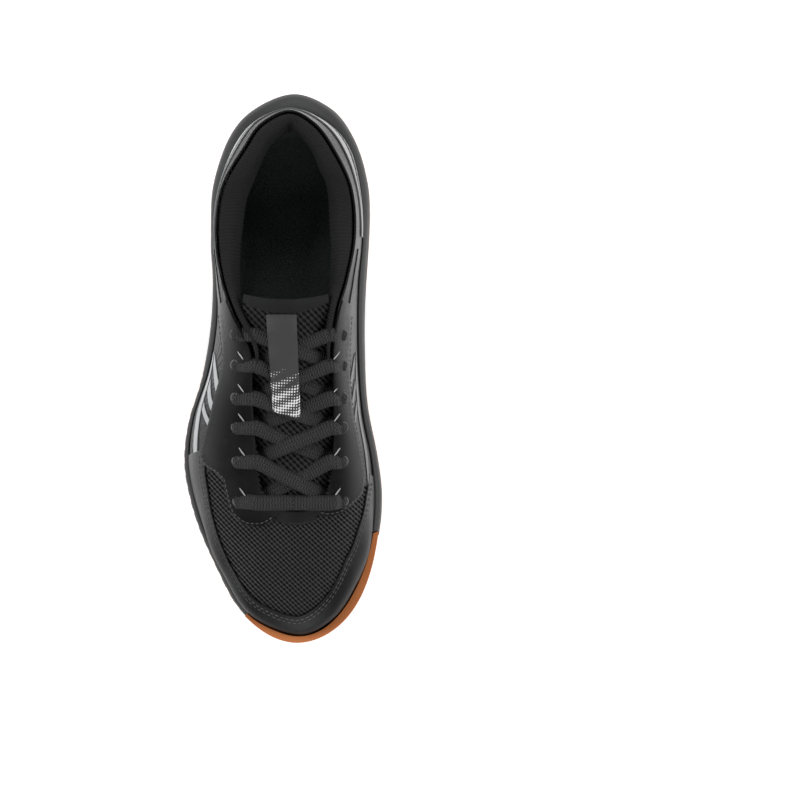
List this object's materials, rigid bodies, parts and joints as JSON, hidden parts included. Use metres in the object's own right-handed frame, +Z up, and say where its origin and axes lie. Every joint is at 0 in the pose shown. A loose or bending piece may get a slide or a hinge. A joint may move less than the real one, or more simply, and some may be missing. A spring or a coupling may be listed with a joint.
{
  "type": "indoor court shoe",
  "caption": "Low-cut right-foot indoor court shoe with a gum outsole, foam midsole, mesh vamp, laced padded tongue and padded collar; the forefoot flexes and the tongue's end bends.",
  "frame": {"origin": "on the ground, at the middle of the sole's plan box", "axes": "+Z up, +Y towards the heel, -Y towards the toe, -X the outer side of the foot"},
  "size_m": [0.1041, 0.2901, 0.0948],
  "materials": {
    "gum_rubber": "satin gum rubber",
    "shank_plastic": "matte moulded plastic",
    "sole_foam": "matte moulded foam",
    "cushion_gel": "soft clear grey gel",
    "board_felt": "stitched bottom board",
    "insole_cloth": "woven top cloth on foam",
    "black_synthetic": "smooth synthetic leather",
    "open_mesh": "open double mesh",
    "stiffener": "thermoformed sheet",
    "heel_gloss": "glossy welded film",
    "silver_film": "satin silver film",
    "grey_film": "dark grey film",
    "lining_knit": "ribbed lining knit",
    "padding_foam": "open-cell foam",
    "label_film": "smooth woven label",
    "lace_weave": "flat woven lace",
    "tip_film": "crimped film tip"
  },
  "bodies": {
    "shoe": {"outsole_heel": "gum_rubber", "outsole_forefoot": "gum_rubber", "midfoot_shank": "shank_plastic", "midsole": "sole_foam", "heel_gel_pad": "cushion_gel", "strobel_board": "board_felt", "insole": "insole_cloth", "quarter_lateral": "black_synthetic", "quarter_medial": "black_synthetic", "vamp_mesh": "open_mesh", "toe_cap": "black_synthetic", "eyestay_lateral": "black_synthetic", "eyestay_medial": "black_synthetic", "heel_film": "heel_gloss", "heel_piping": "silver_film", "side_trim_lateral": "silver_film", "side_trim_medial": "grey_film", "heel_counter": "stiffener", "vamp_lining": "lining_knit", "collar_lining": "lining_knit", "collar_foam": "padding_foam", "tongue_mesh": "open_mesh", "tongue_foam": "padding_foam", "tongue_lining": "lining_knit", "tongue_label": "label_film", "lace": "lace_weave", "lace_tips": "tip_film"},
    "forefoot": {"outsole_toe": "gum_rubber", "toe_puff": "stiffener"},
    "tongue_tip": {"tongue_top": "lining_knit"}
  },
  "joints": [
    {"name": "forefoot_flex", "type": "hinge", "parent": "shoe", "child": "forefoot", "pos_m": [0, -0.081, 0.017], "axis": [-1, 0, 0], "range_deg": [0, 25], "stiffness_Nm_per_rad": 4, "deforming": ["midsole", "strobel_board", "insole", "vamp_mesh", "vamp_lining", "toe_cap", "eyestay_lateral", "eyestay_medial", "lace"]},
    {"name": "tongue_bend", "type": "hinge", "parent": "shoe", "child": "tongue_tip", "pos_m": [0.005, 0.01, 0.082], "axis": [1, 0, 0], "range_deg": [-5, 35], "stiffness_Nm_per_rad": 0.05, "deforming": ["tongue_mesh", "tongue_foam", "tongue_lining", "tongue_label"]}
  ]
}
